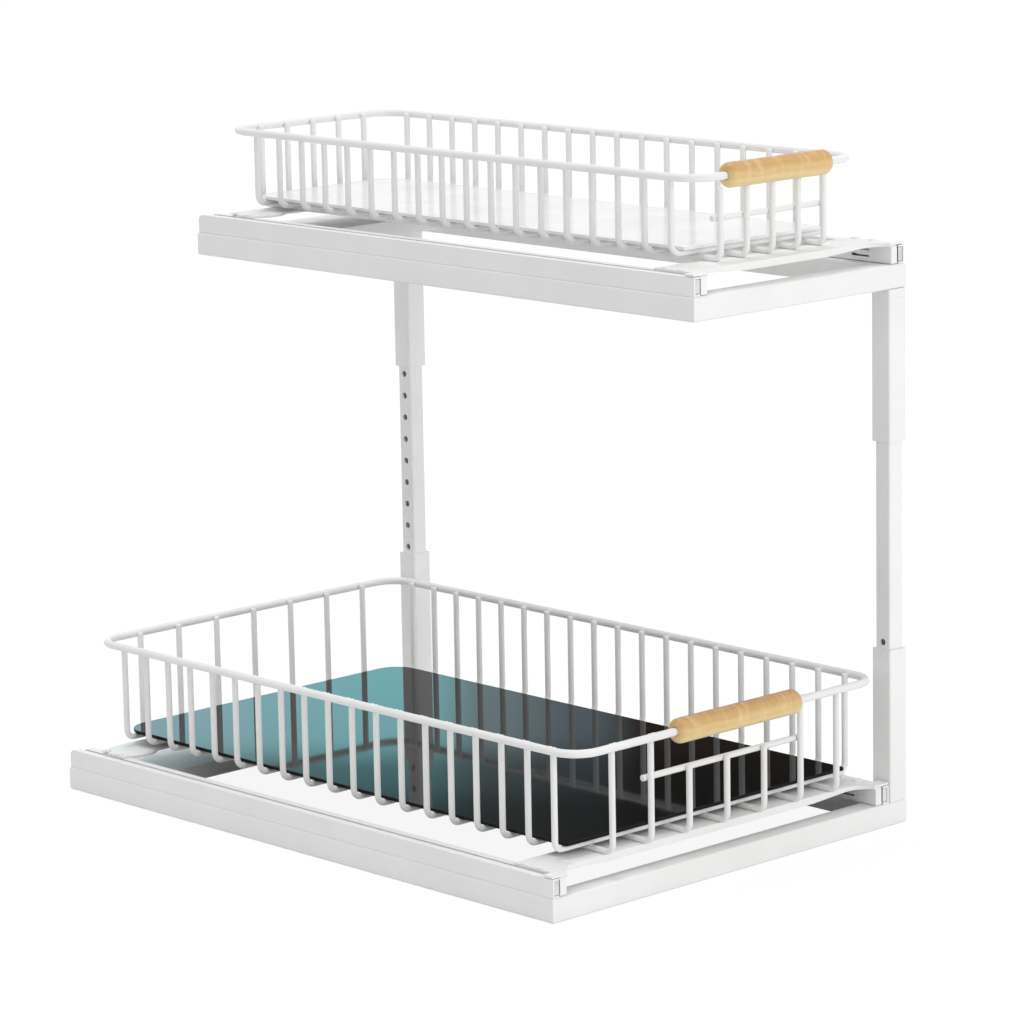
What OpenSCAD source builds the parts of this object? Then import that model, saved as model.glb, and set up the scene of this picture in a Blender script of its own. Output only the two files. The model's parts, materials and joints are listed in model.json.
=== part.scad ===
// Two-tier pull-out wire basket for a cabinet.
// A square-tube base frame and a narrower top frame stand on two telescopic posts at the right.
// Each frame carries a wire basket on a pair of full-extension ball slides.
// Inside every sub-part x runs right, y back and z up from the base's left front bottom corner.

/* [Frames] */
// Width of the base frame
base_width = 285; // [250:5:340]
// Width of the top frame, which hangs out to the left of the posts
top_width = 172; // [165:1:200]
// Depth of both frames
frame_depth = 420; // [360:10:480]
// Height of the top frame's upper face
frame_height = 327; // [310:1:360]
// Side of the square frame tube
tube = 14; // [13:0.5:16]
// Wall of the frame tube
tube_wall = 1.2; // [1:0.1:1.6]
// Depth of the sheet plate that ties each frame together at the rear
tie_depth = 42; // [30:1:60]
// Thickness of the sheet that tie plates and straps are pressed from
sheet = 1.3; // [1:0.1:1.5]
// Height of the turned-down flange of a tie plate
tie_flange = 9; // [6:0.5:11]

/* [Posts] */
// Wall of the post sleeves
sleeve_wall = 1.3; // [1.1:0.1:1.6]
// Wall of the inner post tubes
inner_wall = 1.3; // [1:0.1:1.6]
// Gap on each side between an inner tube and its sleeve
post_gap = 0.2; // [0.15:0.05:0.3]
// Length of the lower sleeves
lower_sleeve_length = 90; // [80:1:96]
// Length of the upper sleeves
upper_sleeve_length = 83; // [76:1:90]
// Height of the stub between an upper sleeve and the top frame
stub_height = 5; // [3:0.5:8]
// Length of the stub's spigot inside the sleeve
spigot = 8; // [6:0.5:10]
// Pitch of the height holes
hole_pitch = 14; // [13:0.5:15]
// Diameter of the height holes
hole_d = 4; // [3:0.1:4.4]
// Diameter of the set screws that lock the height
lock_d = 5; // [4:0.1:6]
// Distance of a lower set screw from its sleeve's upper end
lock_inset = 10; // [8:0.5:12]
// Hex key size of the set screws
hex_key = 2.5; // [2:0.5:3]

/* [Slides] */
// Height of the slide channels
slide_height = 11; // [10.4:0.1:12]
// Wall of the slide channels
slide_wall = 1.1; // [0.9:0.05:1.2]
// Inset of a slide from the side that it is fastened to
slide_inset = 0.8; // [0.4:0.1:1.5]
// Width of a slide channel, back to lip
channel_width = 4.8; // [4.7:0.1:5.2]
// Gap between the lips of the fixed channel and the carriage
lip_gap = 1; // [0.6:0.1:1.4]
// Lift of the carriage above the frame, and drop of the fixed channel below the straps
carriage_lift = 0.4; // [0.3:0.05:0.6]
// Setback of a fixed channel from the frame's front and rear
channel_setback = 0.6; // [0:0.1:3]
// Gap between the mid member and the stop tab at the rear
stop_gap = 10; // [6:1:14]
// Travel of one slide stage
stage_travel = 160; // [120:5:170]
// Diameter of the balls
ball_d = 1.7; // [1.5:0.05:1.8]
// Gap between a ball and its races
race_gap = 0.05; // [0.03:0.01:0.08]
// Pitch of the balls in a cage
ball_pitch = 20; // [16:1:24]
// Thickness of a ball cage
cage_sheet = 0.5; // [0.4:0.05:0.6]
// Radius of the channels' rear corners
channel_corner = 3.4; // [2:0.1:4]
// Radius of the carriages' front corners
carriage_corner = 2; // [1:0.1:3]
// Setback of the carriages and straps from the frame's front
carriage_front = 1; // [0.8:0.1:3]
// Length of the access slots in a carriage
slot_length = 14; // [8:1:20]
// Distance of the access slots from the carriage's ends
slot_inset = 16.5; // [8:0.5:24]
// Height of the access slots
slot_height = 1.5; // [1.2:0.1:1.8]
// Diameter of the rivets
rivet_d = 2.6; // [2.2:0.1:3]
// Height of the strap rivets' heads
rivet_head = 0.7; // [0.5:0.1:1]

/* [Straps] */
// Depth of the carriage straps
strap_depth = 25; // [20:1:30]
// Setback of the front strap's middle from the carriage's front end
front_setback = 10.5; // [8:0.5:14]
// Height of the front strap's turned-down flange
strap_flange = 4.3; // [3:0.1:5]
// Radius of the front strap's flared ends
flare_radius = 16; // [12:1:20]
// Depth of the toes that the front strap's ends reach out over the fixed channels
toe_depth = 7; // [4:0.5:10]
// Setback of the rear strap from the carriage's rear end
rear_setback = 13; // [8:1:18]
// Radius of the rear strap's corners
rear_corner = 15; // [8:1:18]

/* [Baskets] */
// Diameter of the rim wire
rim_wire = 4.6; // [4:0.1:5.5]
// Diameter of the basket wires
wire = 3.6; // [3:0.1:4.2]
// Depth to which crossing wires are fused together where they are welded
weld = 0.25; // [0.2:0.05:0.4]
// Bend radius of the basket wires' lower corners
wire_bend = 5; // [4:0.5:8]
// Pitch of the wires that run across the basket
cross_pitch = 20.6; // [18:0.2:26]
// Least distance of a basket's outermost wires from the rim's corner
edge_margin = 20; // [16:0.5:24]
// Width of the lower rim, centre to centre of the wire
lower_rim_width = 241; // [225:1:246]
// Height of the lower rim's wire centre above the frame
lower_rim_rise = 74.1; // [60:0.5:90]
// Setback of the lower rim's front wire centre
lower_rim_front = 3; // [2.5:0.5:6]
// Setback of the lower rim's rear wire centre
lower_rim_rear = 3; // [3:0.5:10]
// Pitch of the lower basket's lengthwise wires
lower_long_pitch = 30; // [26:0.5:33]
// Width of the upper rim
upper_rim_width = 130; // [124:1:134]
// Height of the upper rim's wire centre above the frame
upper_rim_rise = 60.5; // [50:0.5:70]
// Setback of the upper rim's front wire centre
upper_rim_front = 18.5; // [12:0.5:22]
// Setback of the upper rim's rear wire centre
upper_rim_rear = 6.3; // [3:0.1:10]
// Pitch of the upper basket's lengthwise wires
upper_long_pitch = 20.8; // [18:0.2:24]
// Centre-line radius of the rims' corners
rim_corner = 16; // [12:1:20]
// Thickness of the tray plates
plate_thick = 2; // [1.5:0.1:3]
// Gap under a tray plate
plate_gap = 0.15; // [0.1:0.05:0.3]
// Front inset of a tray plate from the rim
plate_front = 17.3; // [12:0.1:24]
// Rear inset of a tray plate from the rim
plate_rear = 11; // [9:0.5:20]
// Radius of the tray plates' front corners
plate_front_corner = 1.5; // [0.5:0.5:6]
// Radius of the tray plates' rear corners
plate_rear_corner = 16; // [8:0.5:20]

/* [Grips] */
// Diameter of the wooden grips
grip_d = 14.2; // [13:0.2:18]
// Length of the lower grip
lower_grip = 97; // [80:1:110]
// Length of the upper grip
upper_grip = 81.6; // [60:0.2:86]
// Offset of the lower grip to the right of the basket's middle
lower_grip_offset = 3.6; // [0:0.2:14]
// Offset of the upper grip to the right of the basket's middle
upper_grip_offset = -0.9; // [-3:0.1:3]
// Gap between a grip's bore and the rim wire
grip_gap = 0.1; // [0.05:0.01:0.15]
// Bevel of the grips' ends
grip_bevel = 1.2; // [0.5:0.1:2]
// Drop of the hand gap's rod below the rim
rod_drop = 24; // [21:0.5:30]
// Overhang of the rod beyond the last wire at its left end
rod_left = 3.5; // [3:0.5:12]
// Overhang of the rod beyond the last wire at its right end
rod_right = 3; // [2.5:0.5:8]
// Gap between a grip and the wires that end under it
under_grip_gap = 0.3; // [0.2:0.05:0.6]

/* [Hidden] */

// Facets of the round shapes
$fn = 24;
// Overshoot of a cut beyond the surface that it opens
cut = 1;
// Tiers and sides
LOWER = 0;
UPPER = 1;
LEFT = 0;
RIGHT = 1;

white = [0.95, 0.95, 0.94];
zinc = [0.72, 0.74, 0.77];
oak = [0.82, 0.68, 0.49];
smoke = [0.10, 0.18, 0.21];

// Reference point: the middle of the footprint, with the grip's overhang in front
grip_overhang = grip_d / 2 - lower_rim_front;
origin = [base_width / 2, (frame_depth - grip_overhang) / 2, 0];

// Posts
post_x = base_width - tube;
rear_post_y = frame_depth - tube;
post_bore = tube - 2 * sleeve_wall;
inner_side = post_bore - 2 * post_gap;
lower_sleeve_top = tube + lower_sleeve_length;
upper_sleeve_top = frame_height - tube - stub_height;
upper_sleeve_bottom = upper_sleeve_top - upper_sleeve_length;
lower_lock_z = lower_sleeve_top - lock_inset;
// Least distance of an upper set screw from its sleeve's lower end
upper_lock_inset = 8;
lock_steps = ceil((upper_sleeve_bottom + upper_lock_inset - lower_lock_z) / hole_pitch);
upper_lock_z = lower_lock_z + lock_steps * hole_pitch;
// Height steps by which the inner tubes can rise out of the lower sleeves
lower_steps_up = 3;
// Height steps by which the upper sleeves can rise on the inner tubes
upper_steps_up = 2;
// Length of an inner tube beyond its lowest and highest holes
tube_tail = 8;
tube_head = 12;
inner_bottom = lower_lock_z - lower_steps_up * hole_pitch - tube_tail;
inner_top = upper_lock_z + upper_steps_up * hole_pitch + tube_head;
hole_count = lower_steps_up + lock_steps + upper_steps_up + 1;
// Clearance of a set screw round its thread and at its tip
lock_gap = 0.06;
// Depth of a set screw's hex socket
hex_depth = 0.9;

// Slide cross-section, as distances inwards from the side that the slide is fastened to
fixed_lip = slide_inset + channel_width;
carriage_lip = fixed_lip + lip_gap;
carriage_back = carriage_lip + channel_width;
fixed_top = slide_height - carriage_lift;
ball_room = ball_d + 2 * race_gap;
// Play of a ball in its cage's hole
cage_play = 0.2;
cage_hole = ball_d + cage_play;
// Distance of a ball row from the inside of its channel's back
row_offset = 1.75;
row_inset = slide_wall + row_offset;
outer_row = slide_inset + row_inset;
inner_row = carriage_back - row_inset;
bridge_low = slide_height / 2 - slide_wall / 2;
channel_rear = frame_depth - channel_setback;
// Front end of the mid member's H section; only its nose reaches further forward
mid_front = 8;
mid_rear = channel_rear - slide_wall - stop_gap;
// Gap round the nose plate that closes the fixed channel's front end
nose_gap = 0.3;
// Distance of the carriage's rear end from the frame's rear
carriage_short = 6;
carriage_rear = frame_depth - carriage_short;
// Spare overlap of the members beyond a cage when the slide is open
cage_spare = 20;
cage_length = mid_rear - mid_front - stage_travel - cage_spare;
cage_front = mid_front + (mid_rear - mid_front - cage_length) / 2;
cage_lip = 1.3;
// Gap between a cage's web and the inside of its channel's back
cage_gap = 0.3;
cage_back = slide_wall + cage_gap;
ball_count = floor((cage_length - ball_pitch) / ball_pitch) + 1;
// Distance of the outermost rivets of a left channel from the frame's ends
rivet_inset = 30;
rivet_flare = 0.9;
rivet_gap = 0.05;
// Flat left at the ends of a rounded slot
slot_flat = 0.05;
// Gap between the front strap's flange and the carriages beside it
flange_gap = 0.2;
// Gap over a fixed channel's inner edge left by the line that the flange tapers along
taper_gap = 0.12;

// Baskets
rod_pull = wire - weld;
rim_to_wire = rim_wire / 2 + wire / 2 - weld;
long_floor = slide_height + sheet + wire / 2 - weld;
cross_floor = long_floor + wire - weld;
plate_low = cross_floor + wire / 2 + plate_gap;
// Wires between the ends of each basket's grip rod, and those of them that end at the rod
gap_wires = 3;
function short_wires(tier) = tier == LOWER ? gap_wires : 0;

function left_x(tier) = tier == LOWER ? 0 : base_width - top_width;
function deck_z(tier) = tier == LOWER ? tube : frame_height;
function frame_w(tier) = tier == LOWER ? base_width : top_width;
function mid_x(tier) = left_x(tier) + frame_w(tier) / 2;
function rim_w(tier) = tier == LOWER ? lower_rim_width : upper_rim_width;
function rim_rise(tier) = tier == LOWER ? lower_rim_rise : upper_rim_rise;
function rim_z(tier) = deck_z(tier) + rim_rise(tier);
function rim_front(tier) = tier == LOWER ? lower_rim_front : upper_rim_front;
function rim_rear(tier) = frame_depth - (tier == LOWER ? lower_rim_rear : upper_rim_rear);
function rim_l(tier) = rim_rear(tier) - rim_front(tier);
function long_pitch(tier) = tier == LOWER ? lower_long_pitch : upper_long_pitch;
function grip_l(tier) = tier == LOWER ? lower_grip : upper_grip;
function grip_x(tier) = mid_x(tier) + (tier == LOWER ? lower_grip_offset : upper_grip_offset);
// How many wires at a pitch fit between the margins of a span
function wire_count(span, pitch) = floor((span - 2 * edge_margin) / pitch) + 1;
function cross_count(tier) = wire_count(rim_l(tier), cross_pitch);
function long_count(tier) = wire_count(rim_w(tier), long_pitch(tier));
// Right side of the slides: the inner side of the posts below, the frame's side above
function slide_right(tier) = base_width - (tier == LOWER ? tube : 0);
function strap_left(tier) = left_x(tier) + carriage_lip;
function strap_right(tier) = slide_right(tier) - carriage_lip;

// Moves a sub-part from the corner-based coordinates to the reference point
module placed() {
    translate(-origin) children();
}

// A 2D shape in (x, z), extruded from y0 to y1
module along_y(y0, y1) {
    translate([0, y1, 0]) rotate([90, 0, 0]) linear_extrude(y1 - y0) children();
}

// A 2D shape in (y, z), extruded from x0 to x1
module along_x(x0, x1) {
    translate([x0, 0, 0]) rotate([90, 0, 90]) linear_extrude(x1 - x0) children();
}

module rod_x(x0, x1, y, z, d) {
    translate([x0, y, z]) rotate([0, 90, 0]) cylinder(d = d, h = x1 - x0);
}

module rod_y(x, y0, y1, z, d) {
    translate([x, y1, z]) rotate([90, 0, 0]) cylinder(d = d, h = y1 - y0);
}

// Rectangle with four round corners
module rounded_box(low, high, r) {
    translate([low[0] + r, low[1]]) square([high[0] - low[0] - 2 * r, high[1] - low[1]]);
    translate([low[0], low[1] + r]) square([high[0] - low[0], high[1] - low[1] - 2 * r]);
    for (x = [low[0] + r, high[0] - r], y = [low[1] + r, high[1] - r])
        translate([x, y]) circle(r);
}

// ---- frames ----

// Square tube along x from the origin, with mitred ends, its outer side at y = 0
module mitred_bar(length) {
    difference() {
        linear_extrude(tube)
            polygon([[0, 0], [length, 0], [length - tube, tube], [tube, tube]]);
        translate([-cut, tube_wall, tube_wall])
            cube([length + 2 * cut, tube - 2 * tube_wall, tube - 2 * tube_wall]);
    }
}

module frame_at(tier) {
    translate([left_x(tier), 0, deck_z(tier) - tube]) children();
}

module front_bar(tier) {
    color(white) placed() difference() {
        frame_at(tier) mitred_bar(frame_w(tier));
        if (tier == LOWER) channel_rivet_holes(tier, RIGHT);
    }
}

module rear_bar(tier) {
    color(white) placed() difference() {
        frame_at(tier) translate([0, frame_depth, 0]) mirror([0, 1, 0]) mitred_bar(frame_w(tier));
        if (tier == LOWER) channel_rivet_holes(tier, RIGHT);
    }
}

module left_rail(tier) {
    color(white) placed() difference() {
        frame_at(tier) mirror([1, -1, 0]) mitred_bar(frame_depth);
        channel_rivet_holes(tier, LEFT);
    }
}

module right_rail(tier) {
    color(white) placed() difference() {
        frame_at(tier) translate([frame_w(tier), 0, 0]) mirror([1, 0, 0]) mirror([1, -1, 0])
            mitred_bar(frame_depth);
        if (tier == UPPER) channel_rivet_holes(tier, RIGHT);
    }
}

// Sheet plate in front of the rear bar, flush with the frame's top, with a turned-down flange
module tie_plate(tier) {
    y1 = frame_depth - tube;
    y0 = y1 - tie_depth;
    color(white) placed() frame_at(tier) translate([tube, 0, 0]) {
        translate([0, y0, tube - sheet]) cube([frame_w(tier) - 2 * tube, tie_depth, sheet]);
        translate([0, y0, tube - tie_flange]) cube([frame_w(tier) - 2 * tube, sheet, tie_flange]);
    }
}

// ---- posts ----

module at_post(y, z) {
    translate([post_x, y, z]) children();
}

// Sleeve of square tube with a tapped hole for the set screw in its outer wall
module sleeve(length, lock_height) {
    difference() {
        cube([tube, tube, length]);
        translate([sleeve_wall, sleeve_wall, -cut]) cube([post_bore, post_bore, length + 2 * cut]);
        translate([tube - sleeve_wall - cut, tube / 2, lock_height]) rotate([0, 90, 0])
            cylinder(d = lock_d, h = sleeve_wall + 2 * cut);
    }
}

// Flush set screw, its outer end on the sleeve's outer face
module lock_screw() {
    length = sleeve_wall + post_gap - lock_gap;
    translate([tube - length, tube / 2, 0]) rotate([0, 90, 0]) difference() {
        cylinder(d = lock_d - 2 * lock_gap, h = length);
        translate([0, 0, length - hex_depth])
            cylinder(d = hex_key / cos(30), h = hex_depth + cut, $fn = 6);
    }
}

module lock_screws(z) {
    color(zinc) placed() for (y = [0, rear_post_y]) at_post(y, z) lock_screw();
}

module lower_post_sleeve(y) {
    color(white) placed() at_post(y, tube) sleeve(lower_sleeve_length, lower_lock_z - tube);
}

module upper_post_sleeve(y) {
    color(white) placed() at_post(y, upper_sleeve_bottom)
        sleeve(upper_sleeve_length, upper_lock_z - upper_sleeve_bottom);
}

// Inner tube: height holes in its outer wall, and in both walls where seen_holes lists them
module inner_tube(y, seen_holes) {
    inset = sleeve_wall + post_gap;
    bore = inner_side - 2 * inner_wall;
    color(white) placed() at_post(y, 0) difference() {
        translate([inset, inset, inner_bottom])
            cube([inner_side, inner_side, inner_top - inner_bottom]);
        translate([inset + inner_wall, inset + inner_wall, inner_bottom - cut])
            cube([bore, bore, inner_top - inner_bottom + 2 * cut]);
        for (i = [0 : hole_count - 1])
            translate([tube / 2, tube / 2, inner_bottom + tube_tail + i * hole_pitch])
                rotate([0, 90, 0]) cylinder(d = hole_d, h = tube);
        for (i = seen_holes)
            translate([0, tube / 2, inner_bottom + tube_tail + i * hole_pitch])
                rotate([0, 90, 0]) cylinder(d = hole_d, h = tube / 2);
    }
}

// Stub that carries the top frame: a square collar with a spigot that enters the sleeve
module stub(y) {
    inset = sleeve_wall + post_gap;
    wall = inner_wall + inset;
    bore = tube - 2 * wall;
    color(white) placed() at_post(y, upper_sleeve_top) difference() {
        union() {
            cube([tube, tube, stub_height]);
            translate([inset, inset, -spigot]) cube([inner_side, inner_side, spigot]);
        }
        translate([wall, wall, -spigot - cut]) cube([bore, bore, spigot + stub_height + 2 * cut]);
    }
}

// ---- slides ----

// Puts a slide, drawn from x = 0 inwards and up from z = 0, at a side of a tier
module slide_at(tier, side) {
    translate([side == LEFT ? left_x(tier) : slide_right(tier), 0, deck_z(tier)])
        mirror([side == LEFT ? 0 : 1, 0, 0]) children();
}

// C section between two x values: the back on the side of x = back, the lips up to x = lip
module c_section(back, lip, low, high, wall) {
    inside = back < lip ? [back + wall, lip + cut] : [lip - cut, back - wall];
    difference() {
        translate([min(back, lip), low]) square([abs(lip - back), high - low]);
        translate([inside[0], low + wall]) square([inside[1] - inside[0], high - low - 2 * wall]);
    }
}

// Outline of a channel from the side: round upper corner at the rear, and one at the front
module channel_side(y0, y1, low, high, front_r) {
    r = channel_corner;
    translate([y0, low]) square([y1 - y0, high - low - r]);
    translate([y0 + front_r, low]) square([y1 - y0 - front_r - r, high - low]);
    translate([y1 - r, high - r]) circle(r);
    if (front_r > 0) {
        translate([y0, low]) square([2 * front_r, high - low - front_r]);
        translate([y0 + front_r, high - front_r]) circle(front_r);
    }
}

// Where a channel is riveted down: the lower right one crosses only the front and rear bars
function rivet_ys(tier, side) = side == RIGHT && tier == LOWER
    ? [tube / 2, frame_depth - tube / 2]
    : [rivet_inset, frame_depth / 2, frame_depth - rivet_inset];

// Hole through a wall of the given depth, down from z = 0
module rivet_hole(depth) {
    translate([0, 0, -depth - cut]) cylinder(d = rivet_d + 2 * rivet_gap, h = depth + 2 * cut);
}

module channel_rivet_holes(tier, side) {
    slide_at(tier, side) for (y = rivet_ys(tier, side))
        translate([outer_row, y, 0]) rivet_hole(tube_wall);
}

// Countersunk rivet through a channel's floor into the tube below
module channel_rivet() {
    shank = rivet_d / 2;
    head = shank + rivet_flare;
    tail = -tube_wall - rivet_flare;
    rotate_extrude() polygon([[0, tail], [head, tail], [head, -tube_wall], [shank, -tube_wall],
                              [shank, slide_wall - rivet_flare], [head, slide_wall],
                              [0, slide_wall]]);
}

// Fixed channel: opens inwards, closed at the rear by a stop tab
module fixed_channel(tier, side) {
    color(white) placed() slide_at(tier, side) difference() {
        intersection() {
            union() {
                along_y(channel_setback, channel_rear)
                    c_section(slide_inset, fixed_lip, 0, fixed_top, slide_wall);
                translate([slide_inset, channel_rear - slide_wall, 0])
                    cube([channel_width, slide_wall, fixed_top]);
            }
            along_x(slide_inset - cut, fixed_lip + cut)
                channel_side(channel_setback, channel_rear, 0, fixed_top, 0);
        }
        for (y = rivet_ys(tier, side)) translate([outer_row, y, 0]) {
            translate([0, 0, slide_wall - rivet_flare])
                cylinder(d1 = rivet_d + 2 * rivet_gap,
                         d2 = rivet_d + 2 * (rivet_flare + rivet_gap), h = rivet_flare);
            translate([0, 0, -cut])
                cylinder(d = rivet_d + 2 * rivet_gap, h = slide_wall + cut - rivet_flare / 2);
        }
    }
}

module channel_rivets(tier) {
    color(zinc) placed() for (side = [LEFT, RIGHT])
        slide_at(tier, side) for (y = rivet_ys(tier, side))
            translate([outer_row, y, 0]) channel_rivet();
}

// Mid member: an H section whose flanges run on the balls of both channels, with a nose plate
// that closes the fixed channel's front end
module mid_member(tier, side) {
    flange_low = slide_wall + ball_room;
    flange_height = fixed_top - 2 * flange_low;
    nose_low = slide_wall + nose_gap;
    nose_left = slide_inset + nose_low;
    color(zinc) placed() slide_at(tier, side) {
        along_y(mid_front, mid_rear) {
            translate([inner_row - slide_wall / 2, carriage_lift + flange_low])
                square([slide_wall, flange_height]);
            translate([outer_row, bridge_low]) square([inner_row - outer_row, slide_wall]);
        }
        along_y(carriage_front, mid_rear) translate([outer_row - slide_wall / 2, flange_low])
            square([slide_wall, flange_height]);
        translate([nose_left, carriage_front, nose_low])
            cube([fixed_lip - nose_left, slide_wall, fixed_top - 2 * nose_low]);
    }
}

// One cage with its balls: lift is the rise of the lower ball row above the outer channel's
module cage(tier, side, row, back, lift) {
    low = slide_wall + lift + ball_room / 2;
    high = low + fixed_top - 2 * slide_wall - ball_room;
    ys = [for (i = [0 : ball_count - 1])
        cage_front + (cage_length - (ball_count - 1) * ball_pitch) / 2 + i * ball_pitch];
    slide_at(tier, side) {
        difference() {
            along_y(cage_front, cage_front + cage_length)
                c_section(back, row + sign(row - back) * cage_lip,
                          low - cage_sheet / 2, high + cage_sheet / 2, cage_sheet);
            for (y = ys) translate([row, y, low - cut])
                cylinder(d = cage_hole, h = high - low + 2 * cut);
        }
        for (y = ys, z = [low, high]) translate([row, y, z]) sphere(d = ball_d);
    }
}

module outer_cages(tier) {
    color(zinc) placed() for (side = [LEFT, RIGHT])
        cage(tier, side, outer_row, slide_inset + cage_back, 0);
}

module inner_cages(tier) {
    color(zinc) placed() for (side = [LEFT, RIGHT])
        cage(tier, side, inner_row, carriage_back - cage_back, carriage_lift);
}

// Row of strap rivets along a carriage, at its front and rear ends
function strap_rivet_ys() = [
    carriage_front + front_setback + strap_depth / 4,
    carriage_front + front_setback + strap_depth * 3 / 4,
    carriage_rear - rear_setback - strap_depth * 3 / 4,
    carriage_rear - rear_setback - strap_depth / 4];
strap_rivet_x = carriage_back - channel_width / 2;

// Carriage: opens outwards, closed at the front, with two slots near each end
module carriage(tier, side) {
    slot_starts = [carriage_front + slot_inset, carriage_rear - slot_inset - slot_length];
    color(white) placed() slide_at(tier, side) difference() {
        intersection() {
            union() {
                along_y(carriage_front, carriage_rear)
                    c_section(carriage_back, carriage_lip, carriage_lift, slide_height, slide_wall);
                translate([carriage_lip, carriage_front, carriage_lift])
                    cube([channel_width, slide_wall, slide_height - carriage_lift]);
            }
            along_x(carriage_lip - cut, carriage_back + cut)
                channel_side(carriage_front, carriage_rear, carriage_lift, slide_height,
                             carriage_corner);
        }
        for (y = slot_starts, z = [slide_height / 3, slide_height * 2 / 3])
            along_x(carriage_back - slide_wall - cut, carriage_back + cut)
                rounded_box([y, z - slot_height / 2], [y + slot_length, z + slot_height / 2],
                            slot_height / 2 - slot_flat);
        for (y = strap_rivet_ys()) translate([strap_rivet_x, y, slide_height]) {
            rivet_hole(slide_wall);
            translate([0, 0, -slide_wall - cut])
                cylinder(d = rivet_d + 2 * (rivet_flare + rivet_gap), h = cut + rivet_flare / 2);
        }
    }
}

// ---- straps and baskets ----

// Bay that the front strap's curved front edge leaves open, grown by a margin
module front_bay(tier, grow) {
    r = flare_radius + grow;
    x0 = strap_left(tier) + channel_width + flare_radius;
    x1 = strap_right(tier) - channel_width - flare_radius;
    y = carriage_front + front_setback - flare_radius;
    translate([x0, y - r]) square([x1 - x0, 2 * r]);
    for (x = [x0, x1]) translate([x, y]) circle(r, $fn = 64);
}

module strap_plan(tier, y0, y1) {
    translate([strap_left(tier), y0]) square([strap_right(tier) - strap_left(tier), y1 - y0]);
}

// What the front strap's flange loses below the line on which it tapers towards the toes
module flange_taper(tier) {
    drop = strap_flange - sheet;
    run = drop * channel_width / (carriage_lift - taper_gap);
    low = -drop - cut;
    for (end = [[left_x(tier) + slide_inset, run], [slide_right(tier) - slide_inset, -run]])
        translate([end[0], 0]) polygon([[0, 0], [end[1], -drop], [end[1], low], [0, low]]);
}

module front_strap(tier) {
    y0 = carriage_front;
    y1 = carriage_front + front_setback + strap_depth;
    reach = carriage_lip - slide_inset;
    inset = channel_width + flange_gap;
    color(white) placed() translate([0, 0, deck_z(tier) + slide_height]) difference() {
        union() {
            linear_extrude(sheet) difference() {
                union() {
                    strap_plan(tier, y0, y1);
                    translate([strap_left(tier) - reach, y0])
                        square([strap_right(tier) - strap_left(tier) + 2 * reach, toe_depth]);
                }
                front_bay(tier, 0);
            }
            difference() {
                translate([0, 0, sheet - strap_flange]) linear_extrude(strap_flange)
                    intersection() {
                        difference() {
                            front_bay(tier, sheet);
                            front_bay(tier, 0);
                        }
                        translate([strap_left(tier) + inset, y0])
                            square([strap_right(tier) - strap_left(tier) - 2 * inset, y1 - y0]);
                    }
                along_y(y0 - cut, y1 + cut) flange_taper(tier);
            }
        }
        strap_rivet_holes(tier);
    }
}

module rear_strap(tier) {
    y1 = carriage_rear - rear_setback;
    y0 = y1 - strap_depth;
    x0 = strap_left(tier);
    x1 = strap_right(tier);
    color(white) placed() translate([0, 0, deck_z(tier) + slide_height]) difference() {
        linear_extrude(sheet) {
            translate([x0, y0]) square([x1 - x0, strap_depth - rear_corner]);
            translate([x0 + rear_corner, y0]) square([x1 - x0 - 2 * rear_corner, strap_depth]);
            for (x = [x0 + rear_corner, x1 - rear_corner])
                translate([x, y1 - rear_corner]) circle(rear_corner, $fn = 48);
        }
        strap_rivet_holes(tier);
    }
}

module strap_rivet_points(tier) {
    for (x = [left_x(tier) + strap_rivet_x, slide_right(tier) - strap_rivet_x],
         y = strap_rivet_ys()) translate([x, y, 0]) children();
}

module strap_rivet_holes(tier) {
    strap_rivet_points(tier) translate([0, 0, sheet]) rivet_hole(sheet);
}

// Low round heads on the straps, their tails set flush into the carriage's lip
module strap_rivets(tier) {
    shank = rivet_d / 2;
    top = sheet + rivet_head;
    color(white) placed() translate([0, 0, deck_z(tier) + slide_height])
        strap_rivet_points(tier)
            rotate_extrude() polygon([[0, -slide_wall], [shank, -slide_wall], [shank, sheet],
                                      [rivet_d, sheet], [rivet_d, top], [0, top]]);
}

// Rim: a loop of thick wire with round corners
module rim(tier) {
    r = rim_corner;
    x0 = mid_x(tier) - rim_w(tier) / 2;
    x1 = mid_x(tier) + rim_w(tier) / 2;
    y0 = rim_front(tier);
    y1 = rim_rear(tier);
    z = rim_z(tier);
    color(white) placed() {
        for (y = [y0, y1]) rod_x(x0 + r, x1 - r, y, z, rim_wire);
        for (x = [x0, x1]) rod_y(x, y0 + r, y1 - r, z, rim_wire);
        rim_bend([x0 + r, y0 + r, z], 180);
        rim_bend([x1 - r, y0 + r, z], 270);
        rim_bend([x1 - r, y1 - r, z], 0);
        rim_bend([x0 + r, y1 - r, z], 90);
    }
}

module rim_bend(centre, turn) {
    translate(centre) rotate([0, 0, turn])
        rotate_extrude(angle = 90) translate([rim_corner, 0]) circle(d = rim_wire);
}

// U of wire in the x-z plane: its floor's centre line at z = 0 and its legs at either end
module u_wire(span, left_rise, right_rise) {
    r = wire_bend;
    rod_x(-span / 2 + r, span / 2 - r, 0, 0, wire);
    for (leg = [[-1, left_rise, 180], [1, right_rise, 270]]) {
        translate([leg[0] * span / 2, 0, r]) cylinder(d = wire, h = leg[1] - r);
        translate([leg[0] * (span / 2 - r), 0, r]) rotate([90, 0, 0]) rotate([0, 0, leg[2]])
            rotate_extrude(angle = 90) translate([r, 0]) circle(d = wire);
    }
}

// Height of a wire's end above its floor: just under the rim's top
function leg_rise(tier, floor_z) = rim_rise(tier) + rim_wire / 2 - weld - floor_z;

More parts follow.
